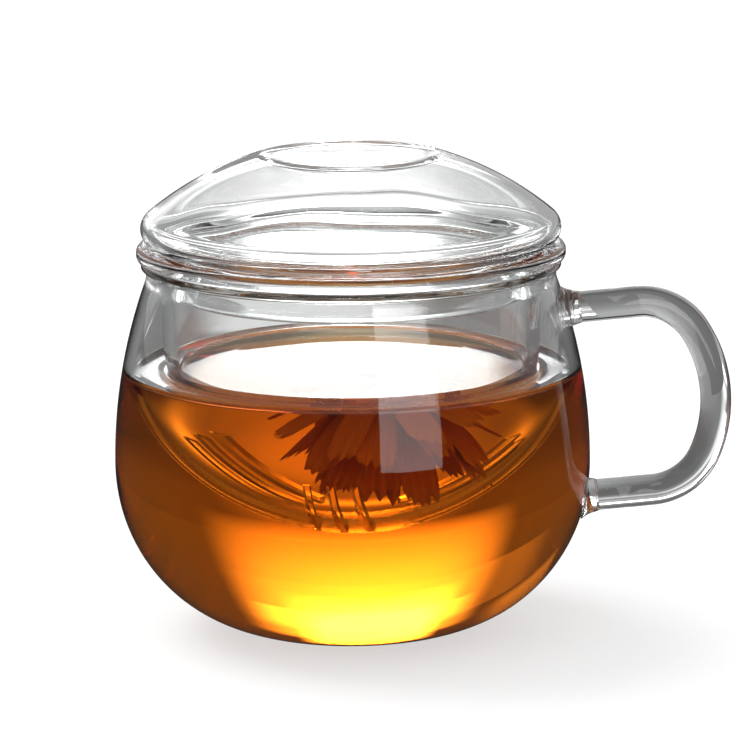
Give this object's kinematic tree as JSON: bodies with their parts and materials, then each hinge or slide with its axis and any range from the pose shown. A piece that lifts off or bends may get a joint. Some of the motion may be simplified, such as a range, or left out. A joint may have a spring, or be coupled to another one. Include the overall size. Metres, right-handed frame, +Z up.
{
  "type": "glass tea cup with infuser and lid",
  "caption": "Bulbous clear glass tea cup with a fused rod handle, a lift-out glass infuser with sawn slits and a lift-off domed lid with a thumb dimple.",
  "frame": {"origin": "centre of the flat base the cup stands on, on the cup's axis", "axes": "+Z up along the cup's axis, +X from the axis towards the handle, Y across the handle"},
  "size_m": [0.1235, 0.0952, 0.0955],
  "materials": {
    "borosilicate_glass": "clear, blown and fire-polished"
  },
  "bodies": {
    "cup": {"cup_body": "borosilicate_glass", "upper_handle_boss": "borosilicate_glass", "lower_handle_boss": "borosilicate_glass", "handle": "borosilicate_glass"},
    "infuser": {"infuser": "borosilicate_glass"},
    "lid": {"lid": "borosilicate_glass"}
  },
  "joints": [
    {"name": "infuser_lift", "type": "slide", "parent": "cup", "child": "infuser", "axis": [0, 0, 1], "range_m": [0, 0.07]},
    {"name": "lid_lift", "type": "slide", "parent": "infuser", "child": "lid", "axis": [0, 0, 1], "range_m": [0, 0.05]}
  ]
}
